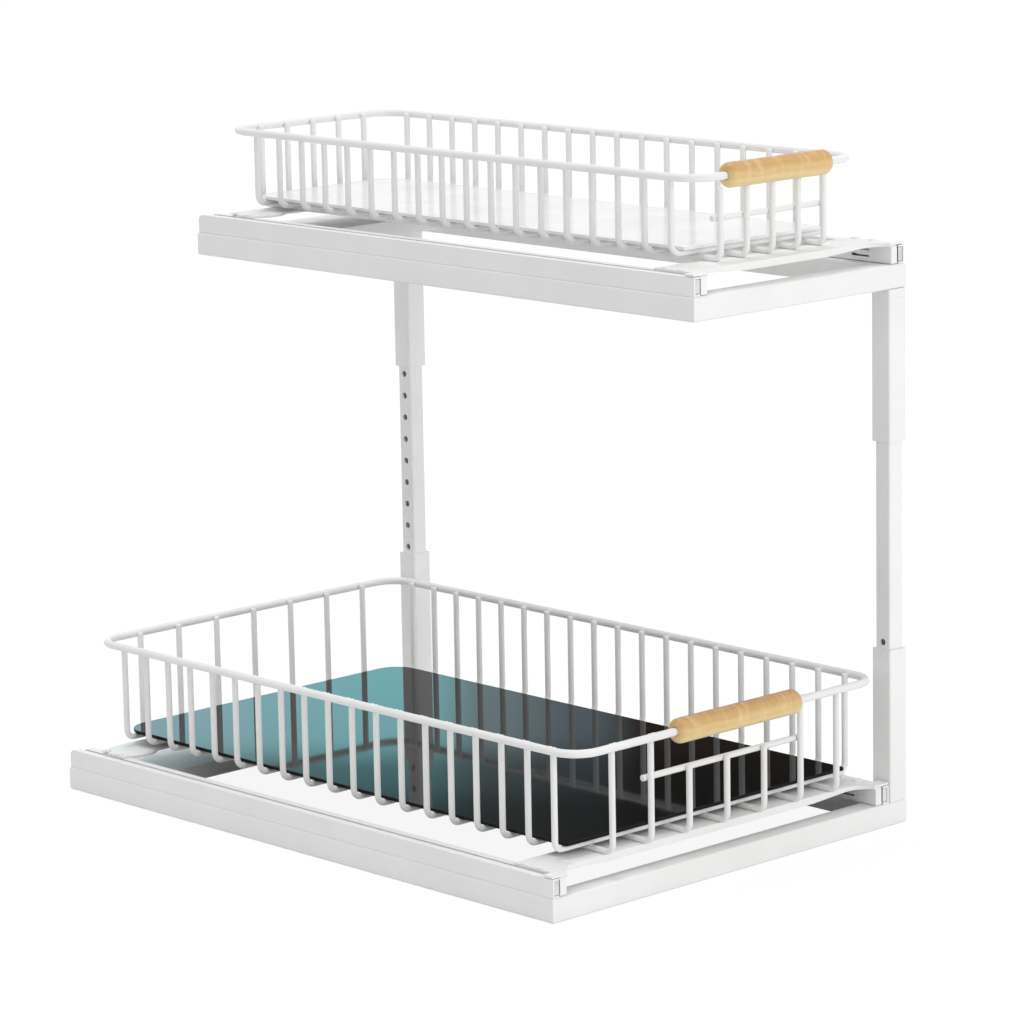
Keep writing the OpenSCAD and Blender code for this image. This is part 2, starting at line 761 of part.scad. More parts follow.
module cross_wires(tier) {
    count = cross_count(tier);
    span = rim_w(tier) - 2 * rim_to_wire;
    rise = leg_rise(tier, cross_floor);
    middle = (rim_front(tier) + rim_rear(tier)) / 2;
    color(white) placed() for (i = [0 : count - 1])
        translate([mid_x(tier), middle + (i - (count - 1) / 2) * cross_pitch,
                   deck_z(tier) + cross_floor])
            u_wire(span, rise, rise);
}

// Height of a front leg above its floor: up to the rod, the grip's underside or the rim
function front_rise(tier, from_middle) =
    let (x = mid_x(tier) + from_middle * long_pitch(tier),
         reach = grip_l(tier) / 2 + wire / 2 + under_grip_gap)
    abs(from_middle) < short_wires(tier) / 2
        ? rim_rise(tier) - rod_drop + wire / 2 - long_floor
    : abs(x - grip_x(tier)) < reach
        ? rim_rise(tier) - grip_d / 2 - under_grip_gap - long_floor
    : leg_rise(tier, long_floor);

module long_wires(tier) {
    count = long_count(tier);
    span = rim_l(tier) - 2 * rim_to_wire;
    middle = (rim_front(tier) + rim_rear(tier)) / 2;
    color(white) placed() for (i = [0 : count - 1]) {
        from_middle = i - (count - 1) / 2;
        translate([mid_x(tier) + from_middle * long_pitch(tier), middle,
                   deck_z(tier) + long_floor])
            rotate([0, 0, 90])
                u_wire(span, front_rise(tier, from_middle), leg_rise(tier, long_floor));
    }
}

// Rod under the hand gap, welded across the insides of the front wires
module grip_rod(tier) {
    half_gap = (gap_wires + 1) / 2 * long_pitch(tier);
    color(white) placed()
        rod_x(mid_x(tier) - half_gap - rod_left, mid_x(tier) + half_gap + rod_right,
              rim_front(tier) + rim_to_wire + rod_pull, rim_z(tier) - rod_drop, wire);
}

// Turned wooden grip, bored for the rim wire
module grip_handle(tier) {
    bore = rim_wire / 2 + grip_gap;
    r = grip_d / 2;
    l = grip_l(tier);
    color(oak) placed() translate([grip_x(tier) - l / 2, rim_front(tier), rim_z(tier)])
        rotate([0, 90, 0]) rotate_extrude($fn = 48)
            polygon([[bore, 0], [r - grip_bevel, 0], [r, grip_bevel], [r, l - grip_bevel],
                     [r - grip_bevel, l], [bore, l]]);
}

// Tray plate on the floor wires, as wide as their straight runs
module tray_plate(tier) {
    half = rim_w(tier) / 2 - rim_to_wire - wire_bend;
    y0 = rim_front(tier) + plate_front;
    y1 = rim_rear(tier) - plate_rear;
    f = plate_front_corner;
    r = plate_rear_corner;
    color(smoke) placed() translate([mid_x(tier), 0, deck_z(tier) + plate_low])
        linear_extrude(plate_thick) {
            translate([-half, y0 + f]) square([2 * half, y1 - y0 - f - r]);
            translate([f - half, y0]) square([2 * (half - f), y1 - y0 - r]);
            translate([r - half, y0 + f]) square([2 * (half - r), y1 - y0 - f]);
            for (side = [-1, 1]) {
                translate([side * (half - f), y0 + f]) circle(f);
                translate([side * (half - r), y1 - r]) circle(r, $fn = 48);
            }
        }
}

front_bar(LOWER);  // base_front_bar
rear_bar(LOWER);  // base_rear_bar
left_rail(LOWER);  // base_left_rail
right_rail(LOWER);  // base_right_rail
tie_plate(LOWER);  // base_tie_plate
lower_post_sleeve(0);  // front_lower_sleeve
lower_post_sleeve(rear_post_y);  // rear_lower_sleeve
lock_screws(lower_lock_z);  // lower_lock_screws
inner_tube(0, [lower_steps_up + 1]);  // front_inner_tube
inner_tube(rear_post_y, [0 : hole_count - 1]);  // rear_inner_tube
upper_post_sleeve(0);  // front_upper_sleeve
upper_post_sleeve(rear_post_y);  // rear_upper_sleeve
lock_screws(upper_lock_z);  // upper_lock_screws
stub(0);  // front_stub
stub(rear_post_y);  // rear_stub
front_bar(UPPER);  // top_front_bar
rear_bar(UPPER);  // top_rear_bar
left_rail(UPPER);  // top_left_rail
right_rail(UPPER);  // top_right_rail
tie_plate(UPPER);  // top_tie_plate
fixed_channel(LOWER, LEFT);  // lower_left_channel
fixed_channel(LOWER, RIGHT);  // lower_right_channel
channel_rivets(LOWER);  // lower_channel_rivets
outer_cages(LOWER);  // lower_outer_cages
mid_member(LOWER, LEFT);  // lower_left_mid_member
mid_member(LOWER, RIGHT);  // lower_right_mid_member
inner_cages(LOWER);  // lower_inner_cages
carriage(LOWER, LEFT);  // lower_left_carriage
carriage(LOWER, RIGHT);  // lower_right_carriage
front_strap(LOWER);  // lower_front_strap
rear_strap(LOWER);  // lower_rear_strap
strap_rivets(LOWER);  // lower_strap_rivets
rim(LOWER);  // lower_rim
cross_wires(LOWER);  // lower_cross_wires
long_wires(LOWER);  // lower_long_wires
grip_rod(LOWER);  // lower_grip_rod
grip_handle(LOWER);  // lower_grip_handle
tray_plate(LOWER);  // lower_tray_plate
fixed_channel(UPPER, LEFT);  // upper_left_channel
fixed_channel(UPPER, RIGHT);  // upper_right_channel
channel_rivets(UPPER);  // upper_channel_rivets
outer_cages(UPPER);  // upper_outer_cages
mid_member(UPPER, LEFT);  // upper_left_mid_member
mid_member(UPPER, RIGHT);  // upper_right_mid_member
inner_cages(UPPER);  // upper_inner_cages
carriage(UPPER, LEFT);  // upper_left_carriage
carriage(UPPER, RIGHT);  // upper_right_carriage
front_strap(UPPER);  // upper_front_strap
rear_strap(UPPER);  // upper_rear_strap
strap_rivets(UPPER);  // upper_strap_rivets
rim(UPPER);  // upper_rim
cross_wires(UPPER);  // upper_cross_wires
long_wires(UPPER);  // upper_long_wires
grip_rod(UPPER);  // upper_grip_rod
grip_handle(UPPER);  // upper_grip_handle
tray_plate(UPPER);  // upper_tray_plate
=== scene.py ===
"""Two-tier pull-out basket: tube frames on telescopic posts, wire baskets on ball slides."""

import json
import math

import bmesh
import bpy
from mathutils import Matrix, Vector

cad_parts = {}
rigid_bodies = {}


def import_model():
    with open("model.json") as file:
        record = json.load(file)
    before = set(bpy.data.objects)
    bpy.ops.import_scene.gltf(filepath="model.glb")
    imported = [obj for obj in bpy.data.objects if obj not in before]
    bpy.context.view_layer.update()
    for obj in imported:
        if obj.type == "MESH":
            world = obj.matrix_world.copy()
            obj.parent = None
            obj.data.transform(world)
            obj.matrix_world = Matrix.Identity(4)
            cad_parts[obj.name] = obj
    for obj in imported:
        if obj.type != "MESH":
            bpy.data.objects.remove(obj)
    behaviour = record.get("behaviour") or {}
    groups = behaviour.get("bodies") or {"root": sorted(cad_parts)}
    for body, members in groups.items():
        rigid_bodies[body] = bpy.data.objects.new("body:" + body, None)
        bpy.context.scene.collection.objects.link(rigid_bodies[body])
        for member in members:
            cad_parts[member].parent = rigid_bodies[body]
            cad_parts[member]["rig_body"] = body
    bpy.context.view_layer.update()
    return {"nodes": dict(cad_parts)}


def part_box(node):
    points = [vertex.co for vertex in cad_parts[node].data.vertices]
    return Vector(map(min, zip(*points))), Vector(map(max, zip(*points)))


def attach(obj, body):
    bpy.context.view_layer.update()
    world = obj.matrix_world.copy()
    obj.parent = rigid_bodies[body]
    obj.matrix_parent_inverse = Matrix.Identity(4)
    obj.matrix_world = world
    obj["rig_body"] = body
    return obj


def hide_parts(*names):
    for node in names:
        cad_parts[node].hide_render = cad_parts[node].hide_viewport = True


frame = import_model()

# ---- named values, lengths in metres ----
MM = 0.001
MERGE = 0.002 * MM  # corners nearer than this are one corner
FLAT_ANGLE = math.radians(0.5)  # faces that meet at less than this are one flat face
WIRE_SIDES = 16
RIM_SIDES = 20
GRIP_SIDES = 64
BEND_STEPS = 7
WIRE_BEND = 5 * MM  # centre-line radius of the baskets' lower corners
RIM_BEND = 16 * MM  # centre-line radius of the rims' corners
UNDER_GRIP = 0.3 * MM  # gap between a grip and the wires that end under it
LEG_RISE = 0.7 * MM  # how far a leg's round top reaches past that gap, behind the grip's middle
LEG_TRIM = 1 * MM  # what the other legs' tops lose, to end behind the rim
BEAD_UP = 0.4  # height of a weld bead over the rim's centre line, in wire radii
BEAD_DEPTH, BEAD_LENGTH, BEAD_HEIGHT = 0.6, 1.25, 0.8  # half its sizes, in wire radii
TUBE_ROUND = 1.5 * MM  # outer corner radius of the frame tube
POST_ROUND = 1.2 * MM  # outer corner radius of sleeves and inner tubes
PRISM_PAST = 1 * MM  # how far the prism that rounds a post tube reaches past its ends
SHEET_EASE = 0.3 * MM  # edge rounding of pressed sheet
FINE_EASE = 0.15 * MM  # edge rounding of the screws and of the post tubes' ends
WOOD_ROUND = 3.4 * MM  # rounding of the grips' ends
BORE_PLAY = 0.12 * MM  # gap between a grip's bore and the rim in it
BORE_EASE = 0.7 * MM  # rounding of the bore's mouths
RING_NEAR = 0.05 * MM  # how far an edge may lie off the circle that it is taken for
TRAY_REAR_ROUND = 16 * MM  # corner radius of the tray inserts at the rear
TRAY_FRONT_ROUND = 1.5 * MM  # and at the front
TRAY_EASE = 0.35 * MM  # edge rounding of the tray inserts
LONG_WIRES = {"lower": 7, "upper": 5}
CROSS_WIRES = {"lower": 19, "upper": 18}
ROD_WIRES = {"lower": 3, "upper": 0}  # middle front legs that end at the rod
TIERS = ("lower", "upper")


# ---- small helpers for modelling ----

def leave_edit():
    if bpy.context.object and bpy.context.object.mode != "OBJECT":
        bpy.ops.object.mode_set(mode="OBJECT")


def take(*pieces):
    """Makes these objects the whole selection, the first of them active."""
    leave_edit()
    bpy.ops.object.select_all(action="DESELECT")
    for piece in pieces:
        piece.select_set(True)
    if pieces:
        bpy.context.view_layer.objects.active = pieces[0]


def new_piece(name):
    """Names the object that an add operator has just made and applies its place."""
    piece = bpy.context.object
    piece.name = piece.data.name = name
    bpy.ops.object.transform_apply(location=True, rotation=True, scale=True)
    return piece


def pick(piece, kind, test):
    """In edit mode, selects the verts, edges or faces that pass a test."""
    take(piece)
    bpy.ops.object.mode_set(mode="EDIT")
    modes = {"verts": "VERT", "edges": "EDGE", "faces": "FACE"}
    bpy.ops.mesh.select_mode(type=modes[kind])
    bpy.ops.mesh.select_all(action="DESELECT")
    shape = bmesh.from_edit_mesh(piece.data)
    for item in getattr(shape, kind):
        if test(item):
            item.select_set(True)
    shape.select_flush_mode()
    bmesh.update_edit_mesh(piece.data)


def whole(piece):
    take(piece)
    bpy.ops.object.mode_set(mode="EDIT")
    bpy.ops.mesh.select_mode(type="VERT")
    bpy.ops.mesh.select_all(action="SELECT")


def settle(piece, angle=32, flat_faces=True):
    """Merges doubles, turns the faces outwards and smooths across gentle edges."""
    whole(piece)
    bpy.ops.mesh.remove_doubles(threshold=MERGE)
    bpy.ops.mesh.normals_make_consistent(inside=False)
    leave_edit()
    take(piece)
    bpy.ops.object.shade_smooth_by_angle(angle=math.radians(angle))
    if flat_faces:
        weighted = piece.modifiers.new("flat_faces", "WEIGHTED_NORMAL")
        weighted.keep_sharp = True
        weighted.weight = 100
        bpy.ops.object.modifier_apply(modifier=weighted.name)
    return piece


def along(edge, axis):
    """Whether an edge runs along an axis."""
    way = edge.verts[1].co - edge.verts[0].co
    return way.length > 0 and abs(way[axis]) > 0.99 * way.length


def block(name, low, high):
    take()
    bpy.ops.mesh.primitive_cube_add(size=1, location=(low + high) / 2)
    bpy.context.object.scale = high - low
    return new_piece(name)


def round_edges(piece, width, segments, test):
    pick(piece, "edges", test)
    bpy.ops.mesh.bevel(offset=width, segments=segments, affect="EDGES", clamp_overlap=True)
    leave_edit()


def ease(piece, width, segments=2, angle=50):
    """Rounds every sharp edge with a bevel that is then applied."""
    take(piece)
    bevel = piece.modifiers.new("eased_edges", "BEVEL")
    bevel.width = width
    bevel.segments = segments
    bevel.limit_method = "ANGLE"
    bevel.angle_limit = math.radians(angle)
    bpy.ops.object.modifier_apply(modifier=bevel.name)


def make_flats_whole(piece):
    """Merges doubles and joins the parts of each flat face."""
    whole(piece)
    bpy.ops.mesh.remove_doubles(threshold=MERGE)
    bpy.ops.mesh.dissolve_limited(angle_limit=FLAT_ANGLE)
    leave_edit()


def solid_copy(node, name):
    """A merged copy of a CAD node, with its flat faces whole again, to be shaped further."""
    piece = bpy.data.objects.new(name, frame["nodes"][node].data.copy())
    bpy.context.scene.collection.objects.link(piece)
    take(piece)
    bpy.ops.mesh.customdata_custom_splitnormals_clear()
    make_flats_whole(piece)
    return piece


def repeated(piece, offsets):
    """Copies of a piece, each with its own mesh, the first offset moving the piece itself."""
    made = [piece]
    for offset in offsets[1:]:
        other = piece.copy()
        other.data = piece.data.copy()
        bpy.context.scene.collection.objects.link(other)
        other.data.transform(Matrix.Translation(Vector(offset)))
        made.append(other)
    piece.data.transform(Matrix.Translation(Vector(offsets[0])))
    return made


def joined(name, pieces):
    take(*pieces)
    if len(pieces) > 1:
        bpy.ops.object.join()
    piece = bpy.context.object
    piece.name = piece.data.name = name
    return piece


def bent_wire(name, diameter, start, facing, steps, closed=False, sides=WIRE_SIDES,
              end_round=0.3):
    """Round wire drawn from start: a step is a straight run, or a bend (centre, axis, angle)."""
    take()
    turn = facing.to_track_quat("Z", "Y").to_euler()
    bpy.ops.mesh.primitive_circle_add(vertices=sides, radius=diameter / 2, location=start,
                                      rotation=turn, fill_type="NOTHING" if closed else "NGON")
    wire = new_piece(name)
    bpy.ops.object.mode_set(mode="EDIT")
    bpy.ops.mesh.select_all(action="SELECT")
    for step in steps:
        if isinstance(step, Vector):
            bpy.ops.mesh.extrude_region_move(TRANSFORM_OT_translate={"value": step})
        else:
            centre, axis, angle = step
            bpy.ops.mesh.spin(steps=BEND_STEPS, angle=-angle, center=centre, axis=axis)
    if not closed:
        pick(wire, "edges", lambda e: any(len(f.verts) == sides for f in e.link_faces))
        bpy.ops.mesh.bevel(offset=end_round * diameter, segments=3, affect="EDGES")
    return settle(wire, 40, flat_faces=False)


def weld_beads(name, spots, radii):
    """Small flattened drops of weld metal, centred on the given spots."""
    take()
    bpy.ops.mesh.primitive_uv_sphere_add(segments=12, ring_count=7, radius=1)
    bpy.context.object.scale = radii
    drop = new_piece(name)
    bpy.ops.object.shade_smooth()
    return repeated(drop, spots)


# ---- materials ----

def new_group(name, inputs, outputs):
    group = bpy.data.node_groups.new(name, "ShaderNodeTree")
    for label, kind, value in inputs:
        socket = group.interface.new_socket(name=label, in_out="INPUT", socket_type=kind)
        if value is not None:
            socket.default_value = value
    for label, kind in outputs:
        group.interface.new_socket(name=label, in_out="OUTPUT", socket_type=kind)
    return group, group.nodes.new("NodeGroupInput"), group.nodes.new("NodeGroupOutput")


def feed(tree, node, values):
    """Gives a node its inputs: a link where the value is another node's output."""
    for label, value in values.items():
        if isinstance(value, bpy.types.NodeSocket):
            tree.links.new(value, node.inputs[label])
        else:
            node.inputs[label].default_value = value


def noise(tree, place, scale, detail):
    speckle = tree.nodes.new("ShaderNodeTexNoise")
    feed(tree, speckle, {"Vector": place, "Scale": scale, "Detail": detail})
    return speckle.outputs["Fac"]


def mapped(tree, place, scale, location=(0, 0, 0)):
    """Coordinates stretched and moved for a texture."""
    stretch = tree.nodes.new("ShaderNodeMapping")
    feed(tree, stretch, {"Vector": place, "Location": location, "Scale": scale})
    return stretch.outputs["Vector"]


def spread(tree, value, source, result, interpolation="LINEAR"):
    """A value taken from one range to another."""
    span = tree.nodes.new("ShaderNodeMapRange")
    span.interpolation_type = interpolation
    feed(tree, span, {"Value": value, "From Min": source[0], "From Max": source[1],
                      "To Min": result[0], "To Max": result[1]})
    return span.outputs["Result"]


def mixed(tree, first, second, factor=1, way="MULTIPLY"):
    """Two colours mixed, or multiplied where nothing else is said."""
    mix = tree.nodes.new("ShaderNodeMix")
    mix.data_type = "RGBA"
    mix.blend_type = way
    feed(tree, mix, {"Factor": factor, 6: first, 7: second})
    return mix.outputs[2]


def bumped(tree, height, distance, strength):
    bump = tree.nodes.new("ShaderNodeBump")
    feed(tree, bump, {"Height": height, "Distance": distance, "Strength": strength})
    return bump.outputs["Normal"]


def coat_skin_group():
    """Sprayed coating: fine orange peel as a height, and a slow change of tone."""
    group, into, out = new_group(
        "coat_skin",
        [("Vector", "NodeSocketVector", None), ("Peel Scale", "NodeSocketFloat", 900.0),
         ("Tone Low", "NodeSocketFloat", 0.97)],
        [("Height", "NodeSocketFloat"), ("Tone", "NodeSocketFloat")])
    place = into.outputs["Vector"]
    peel = noise(group, place, scale=into.outputs["Peel Scale"], detail=3)
    cloud = noise(group, place, scale=28, detail=4)
    tone = spread(group, cloud, (0.35, 0.65), (into.outputs["Tone Low"], 1.0))
    feed(group, out, {"Height": peel, "Tone": tone})
    return group


def placed_skin(tree, skin, place, peel_scale, tone_low=0.97):
    """The coating in a material: its height and its tone."""
    coat = tree.nodes.new("ShaderNodeGroup")
    coat.node_tree = skin
    feed(tree, coat, {"Vector": place, "Peel Scale": peel_scale, "Tone Low": tone_low})
    return coat.outputs["Height"], coat.outputs["Tone"]


def plain_material(name):
    material = bpy.data.materials.new(name)
    material.use_nodes = True
    tree = material.node_tree
    shader = tree.nodes["Principled BSDF"]
    place = tree.nodes.new("ShaderNodeTexCoord")
    return material, tree, shader, place


def coated_steel(name, skin, colour, roughness, peel_scale, peel_depth):
    """Powder-coated steel with a satin skin of fine orange peel."""
    material, tree, shader, place = plain_material(name)
    link = tree.links.new
    shader.inputs["Specular IOR Level"].default_value = 0.06
    height, tone = placed_skin(tree, skin, place.outputs["Object"], peel_scale)
    rough = spread(tree, height, (0.3, 0.7), (roughness - 0.05, roughness + 0.05))
    link(mixed(tree, (*colour, 1), tone), shader.inputs["Base Color"])
    link(rough, shader.inputs["Roughness"])
    link(bumped(tree, height, peel_depth, 0.5), shader.inputs["Normal"])
    return material


def zinc_steel(name, skin):
    """Zinc-plated steel with drawing lines along the slides."""
    material, tree, shader, place = plain_material(name)
    link = tree.links.new
    shader.inputs["Metallic"].default_value = 1
    drawn = mapped(tree, place.outputs["Object"], (6, 0.12, 6))
    height, tone = placed_skin(tree, skin, drawn, peel_scale=260, tone_low=0.86)
    link(mixed(tree, (0.74, 0.75, 0.77, 1), tone), shader.inputs["Base Color"])
    link(spread(tree, height, (0, 1), (0.24, 0.46)), shader.inputs["Roughness"])
    link(bumped(tree, height, 0.03 * MM, 0.4), shader.inputs["Normal"])
    return material


def turned_wood(name):
    """Varnished light wood: long growth rings, fine pores and pale mottling across the grain, and
    painted shade that darkens it towards the top.
    """
    material, tree, shader, place = plain_material(name)
    nodes, link = tree.nodes, tree.links.new
    shader.inputs["Coat Weight"].default_value = 0.25
    shader.inputs["Coat Roughness"].default_value = 0.18

    own = place.outputs["Object"]
    rings = nodes.new("ShaderNodeTexWave")
    rings.wave_type = "RINGS"
    rings.rings_direction = "X"
    feed(tree, rings, {"Vector": mapped(tree, own, (0.35, 1, 1), (0, 0.19, -0.31)),
                       "Scale": 70, "Distortion": 3.5, "Detail": 3, "Detail Scale": 1.4})
    pores = noise(tree, mapped(tree, own, (0.1, 1, 1)), scale=1500, detail=4)
    mottle = noise(tree, mapped(tree, own, (2.6, 0.8, 0.8)), scale=90, detail=3)

    # Base colour over the grip's height: pale at the bottom, darker orange at the top. The
    # darkening is painted shade, not the wood's own colour.
    height = nodes.new("ShaderNodeSeparateXYZ")
    link(place.outputs["Generated"], height.inputs[0])
    base = nodes.new("ShaderNodeValToRGB")
    stops = base.color_ramp.elements
    for stop, at, colour in ((stops[0], 0.1, (0.80, 0.60, 0.30, 1)),
                             (stops.new(0.55), 0.55, (0.70, 0.475, 0.195, 1)),
                             (stops[-1], 0.95, (0.57, 0.31, 0.095, 1))):
        stop.position = at
        stop.color = colour
    link(height.outputs["Z"], base.inputs["Fac"])

    grain = spread(tree, rings.outputs["Fac"], (0, 1), (0.94, 1.02))
    mottled_and_shaded = mixed(tree, mixed(tree, base.outputs["Color"], grain), (0.80, 0.62, 0.33, 1),
                    factor=spread(tree, mottle, (0.48, 0.72), (0, 0.5)), way="MIX")
    fleck = spread(tree, pores, (0.3, 0.5), (0.93, 1))
    link(mixed(tree, mottled_and_shaded, fleck), shader.inputs["Base Color"])
    link(spread(tree, pores, (0, 1), (0.36, 0.56)), shader.inputs["Roughness"])
    link(bumped(tree, pores, 0.05 * MM, 0.5), shader.inputs["Normal"])
    return material


def gloss_tray(name, skin, colour, roughness, gloss):
    """Polished tray insert, its gloss slightly uneven."""
    material, tree, shader, place = plain_material(name)
    link = tree.links.new
    shader.inputs["Specular IOR Level"].default_value = gloss
    height, tone = placed_skin(tree, skin, place.outputs["Object"], peel_scale=45,
                               tone_low=0.9)
    link(mixed(tree, (*colour, 1), tone), shader.inputs["Base Color"])
    link(spread(tree, height, (0, 1), (roughness, roughness + 0.05)),
         shader.inputs["Roughness"])
    return material


skin = coat_skin_group()
FINISH = {
    "frame": ("frame_white", coated_steel("coated_frame", skin, (0.86, 0.86, 0.855),
                                          roughness=0.42, peel_scale=900,
                                          peel_depth=0.05 * MM)),
    "wire": ("frame_white", coated_steel("coated_wire", skin, (0.84, 0.84, 0.835),
                                         roughness=0.34, peel_scale=700,
                                         peel_depth=0.05 * MM)),
    "zinc": ("slide_zinc", zinc_steel("zinc_plate", skin)),
    "wood": ("grip_wood", turned_wood("turned_wood")),
    "dark": ("tray_smoke", gloss_tray("tray_dark_gloss", skin, (0.012, 0.012, 0.012),
                                      roughness=0.02, gloss=0.06)),
    "pale": ("tray_white", gloss_tray("tray_pale_gloss", skin, (0.84, 0.845, 0.85),
                                      roughness=0.12, gloss=0.5)),
}


def dress(piece, finish):
    slot, material = FINISH[finish]
    piece.data.materials.clear()
    piece.data.materials.append(material)


def stands_for(piece, finish, *nodes):
    """The piece takes the place of these CAD nodes, on their body."""
    dress(piece, finish)
    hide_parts(*nodes)
    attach(piece, frame["nodes"][nodes[0]]["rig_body"])
    return piece


def eased_copy(node, name, width, finish):
    """A copy of a CAD node with its sharp edges rounded, in the node's place."""
    piece = solid_copy(node, name)
    ease(piece, width)
    return stands_for(settle(piece), finish, node)


# ---- square-tube frames ----

def mitred_bar(node, inward):
    """Square tube with round long edges; inward is the side on which its mitred ends close."""
    low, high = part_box(node)
    run = 0 if high.x - low.x > high.y - low.y else 1
    across = 1 - run
    bar = block(node + "_tube", low, high)
    for end, way in ((low, 1), (high, -1)):
        corner = end.copy()
        corner[across] = (low if inward > 0 else high)[across]
        cut = Vector((0, 0, 0))
        cut[run] = way
        cut[across] = -inward
        whole(bar)
        bpy.ops.mesh.bisect(plane_co=corner, plane_no=cut, use_fill=True, clear_inner=True)
    leave_edit()
    round_edges(bar, TUBE_ROUND, 4, lambda e: along(e, run))
    return stands_for(settle(bar), "frame", node)


def frames():
    for level in ("base", "top"):
        for bar, inward in (("front_bar", 1), ("rear_bar", -1), ("left_rail", 1),
                            ("right_rail", -1)):
            mitred_bar(f"{level}_{bar}", inward)
        eased_copy(level + "_tie_plate", level + "_tie_sheet", SHEET_EASE, "frame")


# ---- posts ----

def post_tube(node, name):
    """Square post tube: a merged copy of the solid, cut to a prism with round long edges."""
    low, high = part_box(node)
    tube = solid_copy(node, name)
    past_end = Vector((0, 0, PRISM_PAST))
    prism = block(name + "_prism", low - past_end, high + past_end)
    round_edges(prism, POST_ROUND, 4, lambda e: along(e, 2))
    take(tube)
    cut = tube.modifiers.new("round_corners", "BOOLEAN")
    cut.operation = "INTERSECT"
    cut.solver = "EXACT"
    cut.object = prism
    bpy.ops.object.modifier_apply(modifier=cut.name)
    bpy.data.objects.remove(prism)
    make_flats_whole(tube)
    ease(tube, FINE_EASE, angle=60)
    return stands_for(settle(tube), "frame", node)


def posts():
    for side in ("front", "rear"):
        for part in ("lower_sleeve", "inner_tube", "upper_sleeve", "stub"):
            post_tube(f"{side}_{part}", f"{side}_{part}_tube")
    for tier in TIERS:
        eased_copy(tier + "_lock_screws", tier + "_set_screws", FINE_EASE, "zinc")


# ---- slides ----

def slides(tier):
    for side in ("left", "right"):
        for part in ("channel", "carriage"):
            node = f"{tier}_{side}_{part}"
            eased_copy(node, node + "_section", SHEET_EASE, "frame")
        dress(frame["nodes"][f"{tier}_{side}_mid_member"], "zinc")
    for part in ("channel_rivets", "outer_cages", "inner_cages"):
        dress(frame["nodes"][f"{tier}_{part}"], "zinc")


def straps(tier):
    for part in ("front_strap", "rear_strap"):
        node = f"{tier}_{part}"
        eased_copy(node, node + "_sheet", SHEET_EASE, "frame")
    dress(frame["nodes"][tier + "_strap_rivets"], "frame")


# ---- baskets ----

def rim(tier):
    node = tier + "_rim"
    low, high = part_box(node)
    radius = (high.z - low.z) / 2
    x0, x1 = low.x + radius, high.x - radius
    y0, y1 = low.y + radius, high.y - radius
    z = (low.z + high.z) / 2
    middle = (x0 + x1) / 2
    r = RIM_BEND
    up = Vector((0, 0, 1))
    quarter = math.pi / 2
    steps = [
        Vector((x0 + r - middle, 0, 0)), (Vector((x0 + r, y1 - r, z)), up, quarter),
        Vector((0, y0 - y1 + 2 * r, 0)), (Vector((x0 + r, y0 + r, z)), up, quarter),
        Vector((x1 - x0 - 2 * r, 0, 0)), (Vector((x1 - r, y0 + r, z)), up, quarter),
        Vector((0, y1 - y0 - 2 * r, 0)), (Vector((x1 - r, y1 - r, z)), up, quarter),
        Vector((middle - x1 + r, 0, 0))]
    loop = bent_wire(tier + "_rim_loop", 2 * radius, Vector((middle, y1, z)),
                     Vector((-1, 0, 0)), steps, closed=True, sides=RIM_SIDES)
    return stands_for(loop, "wire", node)


def u_wire(name, diameter, plane, start, end, floor, start_top, end_top):
    """Wire bent to a U in the plane of one axis (0 or 1) and Z, drawn from its first leg's top."""
    r = WIRE_BEND
    ahead = Vector((0, 0, 0))
    ahead[plane] = 1
    rise = Vector((0, 0, 1))
    axis = Vector((0, 1, 0)) if plane == 0 else Vector((1, 0, 0))
    turn = -math.pi / 2 if plane == 0 else math.pi / 2
    length = (end - start)[plane]
    steps = [
        -rise * (start_top - floor - r),
        (Vector((start.x, start.y, floor + r)) + ahead * r, axis, turn),
        ahead * (length - 2 * r),
        (Vector((end.x, end.y, floor + r)) - ahead * r, axis, turn),
        rise * (end_top - floor - r)]
    return bent_wire(name, diameter, Vector((start.x, start.y, start_top)), -rise, steps)


def wire_diameter(tier):
    low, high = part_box(tier + "_grip_rod")
    return high.z - low.z


def cross_wires(tier):
    node = tier + "_cross_wires"
    low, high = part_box(node)
    rim_low, rim_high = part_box(tier + "_rim")
    count = CROSS_WIRES[tier]
    diameter = wire_diameter(tier)
    r = diameter / 2
    first, last = low.y + r, high.y - r
    tops = high.z - LEG_TRIM
    one = u_wire(node + "_u", diameter, 0, Vector((low.x + r, first, 0)),
                 Vector((high.x - r, first, 0)), low.z + r, tops, tops)
    offsets = [(0, i * (last - first) / (count - 1), 0) for i in range(count)]
    pieces = repeated(one, offsets)
    drop_x = ((low.x + rim_low.x) / 2 + r, (high.x + rim_high.x) / 2 - r)
    drop_z = (rim_low.z + rim_high.z) / 2 + BEAD_UP * r
    spots = [(x, first + offset[1], drop_z) for x in drop_x for offset in offsets]
    pieces += weld_beads(node + "_welds", spots,
                         (BEAD_DEPTH * r, BEAD_LENGTH * r, BEAD_HEIGHT * r))
    return stands_for(joined(node + "_bent", pieces), "wire", node)


def front_leg_top(tier, place, from_middle, tops):
    """Height of a lengthwise wire's front leg: at the rod, under the grip or at the rim."""
    grip_low, grip_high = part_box(tier + "_grip_handle")
    if abs(from_middle) < ROD_WIRES[tier] / 2:
        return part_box(tier + "_grip_rod")[1].z
    if grip_low.x < place < grip_high.x:
        return grip_low.z - UNDER_GRIP + LEG_RISE
    return tops


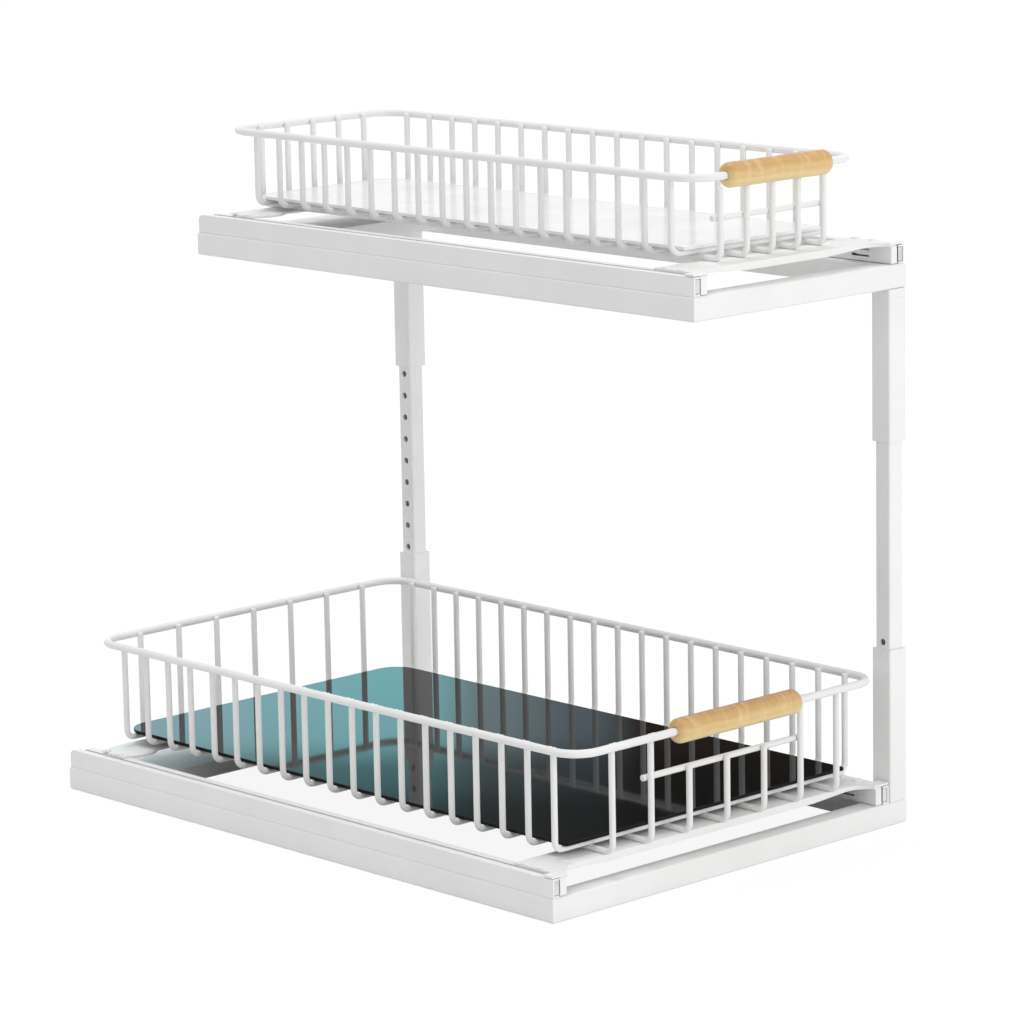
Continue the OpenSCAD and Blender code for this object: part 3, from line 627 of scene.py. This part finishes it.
def long_wires(tier):
    node = tier + "_long_wires"
    low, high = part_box(node)
    rim_low, rim_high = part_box(tier + "_rim")
    count = LONG_WIRES[tier]
    diameter = wire_diameter(tier)
    r = diameter / 2
    pitch = (high.x - low.x - diameter) / (count - 1)
    shapes, spots = {}, []
    tops = high.z - LEG_TRIM
    drop_y = ((low.y + rim_low.y) / 2 + r, (high.y + rim_high.y) / 2 - r)
    drop_z = (rim_low.z + rim_high.z) / 2 + BEAD_UP * r
    for i in range(count):
        x = low.x + r + i * pitch
        top = front_leg_top(tier, x, i - (count - 1) / 2, tops)
        shapes.setdefault(round(top, 6), []).append(x)
        spots.append((x, drop_y[1], drop_z))
        if top == tops:
            spots.append((x, drop_y[0], drop_z))
    pieces = []
    for top, places in shapes.items():
        one = u_wire(node + "_u", diameter, 1, Vector((places[0], low.y + r, 0)),
                     Vector((places[0], high.y - r, 0)), low.z + r, top, tops)
        pieces += repeated(one, [(x - places[0], 0, 0) for x in places])
    pieces += weld_beads(node + "_welds", spots,
                         (BEAD_LENGTH * r, BEAD_DEPTH * r, BEAD_HEIGHT * r))
    return stands_for(joined(node + "_bent", pieces), "wire", node)


def grip_rod(tier):
    node = tier + "_grip_rod"
    low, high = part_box(node)
    middle = (low + high) / 2
    rod = bent_wire(node + "_bar", high.z - low.z, Vector((low.x, middle.y, middle.z)),
                    Vector((1, 0, 0)), [Vector((high.x - low.x, 0, 0))], end_round=0.08)
    return stands_for(rod, "wire", node)


def grip_handle(tier):
    """Turned grip: a bored cylinder with round shoulders and a countersunk bore."""
    node = tier + "_grip_handle"
    low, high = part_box(node)
    rim_low, rim_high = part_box(tier + "_rim")
    radius = (high.z - low.z) / 2
    bore = (rim_high.z - rim_low.z) / 2 + BORE_PLAY
    take()
    axis = (low + high) / 2
    bpy.ops.mesh.primitive_cylinder_add(vertices=GRIP_SIDES, radius=radius,
                                        depth=high.x - low.x, location=axis,
                                        rotation=(0, math.pi / 2, 0))
    grip = new_piece(node + "_turned")
    pick(grip, "faces", lambda f: abs(f.normal.x) > 0.9)
    bpy.ops.mesh.inset(thickness=radius - bore)
    bpy.ops.mesh.bridge_edge_loops()
    leave_edit()

    def ring(edge, size):
        """Whether an edge lies on a circle of this radius round the grip's axis."""
        return not along(edge, 0) and all(
            abs(math.hypot(v.co.y - axis.y, v.co.z - axis.z) - size) < RING_NEAR
            for v in edge.verts)

    round_edges(grip, WOOD_ROUND, 5, lambda e: ring(e, radius))
    round_edges(grip, BORE_EASE, 3, lambda e: ring(e, bore))
    return stands_for(settle(grip, 40), "wood", node)


def tray_plate(tier, finish):
    """Tray insert with large rear corners, small front corners and eased edges."""
    node = tier + "_tray_plate"
    low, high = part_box(node)
    middle = (low.y + high.y) / 2
    tray = block(node + "_insert", low, high)
    round_edges(tray, TRAY_REAR_ROUND, 10,
                lambda e: along(e, 2) and e.verts[0].co.y > middle)
    round_edges(tray, TRAY_FRONT_ROUND, 4,
                lambda e: along(e, 2) and e.verts[0].co.y < middle)
    ease(tray, TRAY_EASE, 3, 60)
    return stands_for(settle(tray), finish, node)


def basket(tier):
    rim(tier)
    cross_wires(tier)
    long_wires(tier)
    grip_rod(tier)
    grip_handle(tier)


# ---- camera, light and floor ----

VIEW_AZIMUTH = math.radians(43.2847)  # of the camera, from the front towards the left
VIEW_ELEVATION = math.radians(11.2571)
VIEW_ROLL = math.radians(-1.0665)
VIEW_TARGET = Vector((-0.0121344, -0.0432950, 0.1847160))
VIEW_DISTANCE = 2.553037  # from the camera to the target
LENS_MM, SENSOR_MM = 156.135, 36
LAMP_AIM = Vector((0, 0, 0.2))  # about the middle of the unit
FLOOR_SIZE = 60  # side of the square floor


def add_camera():
    away = Vector((-math.sin(VIEW_AZIMUTH) * math.cos(VIEW_ELEVATION),
                   -math.cos(VIEW_AZIMUTH) * math.cos(VIEW_ELEVATION),
                   math.sin(VIEW_ELEVATION)))
    level = (-away).cross(Vector((0, 0, 1))).normalized()
    upright = level.cross(-away)
    right = math.cos(VIEW_ROLL) * level + math.sin(VIEW_ROLL) * upright
    up = -math.sin(VIEW_ROLL) * level + math.cos(VIEW_ROLL) * upright
    data = bpy.data.cameras.new("camera")
    data.sensor_width = SENSOR_MM
    data.lens = LENS_MM
    data.clip_start = 0.05
    data.clip_end = 100
    camera = bpy.data.objects.new("camera", data)
    place = Matrix((right, up, away)).transposed().to_4x4()
    place.translation = VIEW_TARGET + away * VIEW_DISTANCE
    camera.matrix_world = place
    bpy.context.scene.collection.objects.link(camera)
    bpy.context.scene.camera = camera


def soft_lamp(name, way, distance, size, power):
    """Square area lamp that looks at the object from the given way."""
    data = bpy.data.lights.new(name, "AREA")
    data.shape = "SQUARE"
    data.size = size
    data.energy = power
    lamp = bpy.data.objects.new(name, data)
    way = Vector(way).normalized()
    lamp.location = LAMP_AIM + way * distance
    lamp.rotation_euler = way.to_track_quat("Z", "Y").to_euler()
    bpy.context.scene.collection.objects.link(lamp)


def rays_seen(tree, *kinds):
    """1 for a ray of one of these kinds, and 0 for the others."""
    path = tree.nodes.new("ShaderNodeLightPath")
    seen = path.outputs[kinds[0]]
    for kind in kinds[1:]:
        either = tree.nodes.new("ShaderNodeMath")
        either.operation = "MAXIMUM"
        feed(tree, either, {0: seen, 1: path.outputs[kind]})
        seen = either.outputs[0]
    return seen


def blended(tree, factor, first, second):
    """The first shader, and the second one as far as the factor says."""
    mix = tree.nodes.new("ShaderNodeMixShader")
    feed(tree, mix, {"Fac": factor, 1: first, 2: second})
    return mix.outputs[0]


def bare_material(name):
    material = bpy.data.materials.new(name)
    material.use_nodes = True
    material.node_tree.nodes.clear()
    return material, material.node_tree


def studio_world(ambient):
    """Even white surroundings: seen and mirrored as plain white, dimmer as light."""
    world = bpy.data.worlds.new("studio")
    world.use_nodes = True
    bpy.context.scene.world = world
    tree = world.node_tree
    tree.nodes.clear()
    whites = []
    for strength in (ambient, 1):
        white = tree.nodes.new("ShaderNodeBackground")
        feed(tree, white, {"Color": (1, 1, 1, 1), "Strength": strength})
        whites.append(white.outputs[0])
    seen = rays_seen(tree, "Is Camera Ray", "Is Glossy Ray", "Is Transmission Ray")
    out = tree.nodes.new("ShaderNodeOutputWorld")
    tree.links.new(blended(tree, seen, *whites), out.inputs["Surface"])


def studio_floor(shade, near, far):
    """Pale floor: lit white that keeps a soft shadow near the object, plain white further out."""
    take()
    bpy.ops.mesh.primitive_grid_add(x_subdivisions=2, y_subdivisions=2, size=FLOOR_SIZE)
    floor = new_piece("studio_floor")
    material, tree = bare_material("studio_floor")
    nodes, link = tree.nodes, tree.links.new
    place = nodes.new("ShaderNodeTexCoord")
    reach = nodes.new("ShaderNodeVectorMath")
    reach.operation = "LENGTH"
    link(place.outputs["Object"], reach.inputs[0])
    fade = spread(tree, reach.outputs["Value"], (near, far), (shade, 0), "SMOOTHSTEP")
    lit = nodes.new("ShaderNodeBsdfDiffuse")
    feed(tree, lit, {"Color": (0.84, 0.84, 0.84, 1)})
    white = nodes.new("ShaderNodeEmission")
    feed(tree, white, {"Color": (1, 1, 1, 1), "Strength": 1.04})
    shown = blended(tree, fade, white.outputs[0], lit.outputs[0])
    seen = rays_seen(tree, "Is Camera Ray", "Is Glossy Ray")
    out = nodes.new("ShaderNodeOutputMaterial")
    link(blended(tree, seen, lit.outputs[0], shown), out.inputs["Surface"])
    floor.data.materials.append(material)


def gloss_card(turn, distance, width, height, glow_strength):
    """Upright card behind the object that only glossy surfaces see: a teal window beside a dark
    wall. Its own x runs to the right as seen from the object, turned about Z."""
    take()
    bpy.ops.mesh.primitive_grid_add(x_subdivisions=2, y_subdivisions=2, size=1,
                                    rotation=(math.pi / 2, 0, 0))
    bpy.context.object.scale = (width, height, 1)
    card = new_piece("gloss_card")
    card.data.transform(Matrix.Translation((0, 0, height / 2)))
    card.rotation_euler = (0, 0, -turn)
    card.location = (distance * math.sin(turn), distance * math.cos(turn), 0)
    for ray in ("camera", "diffuse", "transmission", "volume_scatter", "shadow"):
        setattr(card, "visible_" + ray, False)
    material, tree = bare_material("gloss_card")
    nodes, link = tree.nodes, tree.links.new
    place = nodes.new("ShaderNodeTexCoord")
    split = nodes.new("ShaderNodeSeparateXYZ")
    link(place.outputs["Object"], split.inputs[0])

    def ramp(axis, low, high, stops):
        """Colours along one axis of the card, each at its place in metres."""
        colours = nodes.new("ShaderNodeValToRGB")
        colours.color_ramp.interpolation = "EASE"
        stock = colours.color_ramp.elements
        for i, (at, colour) in enumerate(stops):
            stop = stock[i] if i < 2 else stock.new(1)
            stop.position = (at - low) / (high - low)
            stop.color = (*colour, 1)
        link(spread(tree, split.outputs[axis], (low, high), (0, 1)), colours.inputs["Fac"])
        return colours.outputs["Color"]

    across = ramp("X", -0.4, 0.4, [(-0.30, (0.54, 0.90, 1.0)), (-0.06, (0.38, 0.91, 0.97)),
                                   (0.0, (0.30, 0.40, 0.43)), (0.08, (0.17, 0.22, 0.25)),
                                   (0.13, (0.03, 0.02, 0.012))])
    upwards = ramp("Z", 0.2, 0.4, [(0.265, (1, 1, 1)), (0.295, (0.36, 0.36, 0.36)),
                                   (0.335, (0.12, 0.11, 0.10))])
    glow = nodes.new("ShaderNodeEmission")
    feed(tree, glow, {"Color": mixed(tree, across, upwards), "Strength": glow_strength})
    out = nodes.new("ShaderNodeOutputMaterial")
    link(glow.outputs[0], out.inputs["Surface"])
    card.data.materials.append(material)


def studio():
    studio_world(ambient=0.72)
    soft_lamp("front_lamp", way=(0.10, -0.97, 0.24), distance=3.0, size=1.6, power=24.5)
    soft_lamp("top_lamp", way=(0.05, 0.25, 0.96), distance=3.0, size=1.4, power=32)
    studio_floor(shade=0.12, near=0.35, far=1.1)
    gloss_card(turn=VIEW_AZIMUTH, distance=0.95, width=1.3, height=0.40, glow_strength=2.7)
    bpy.context.scene.view_settings.view_transform = "Standard"


add_camera()
frames()
posts()
for tier in TIERS:
    slides(tier)
    straps(tier)
    basket(tier)
tray_plate("lower", "dark")
tray_plate("upper", "pale")
studio()
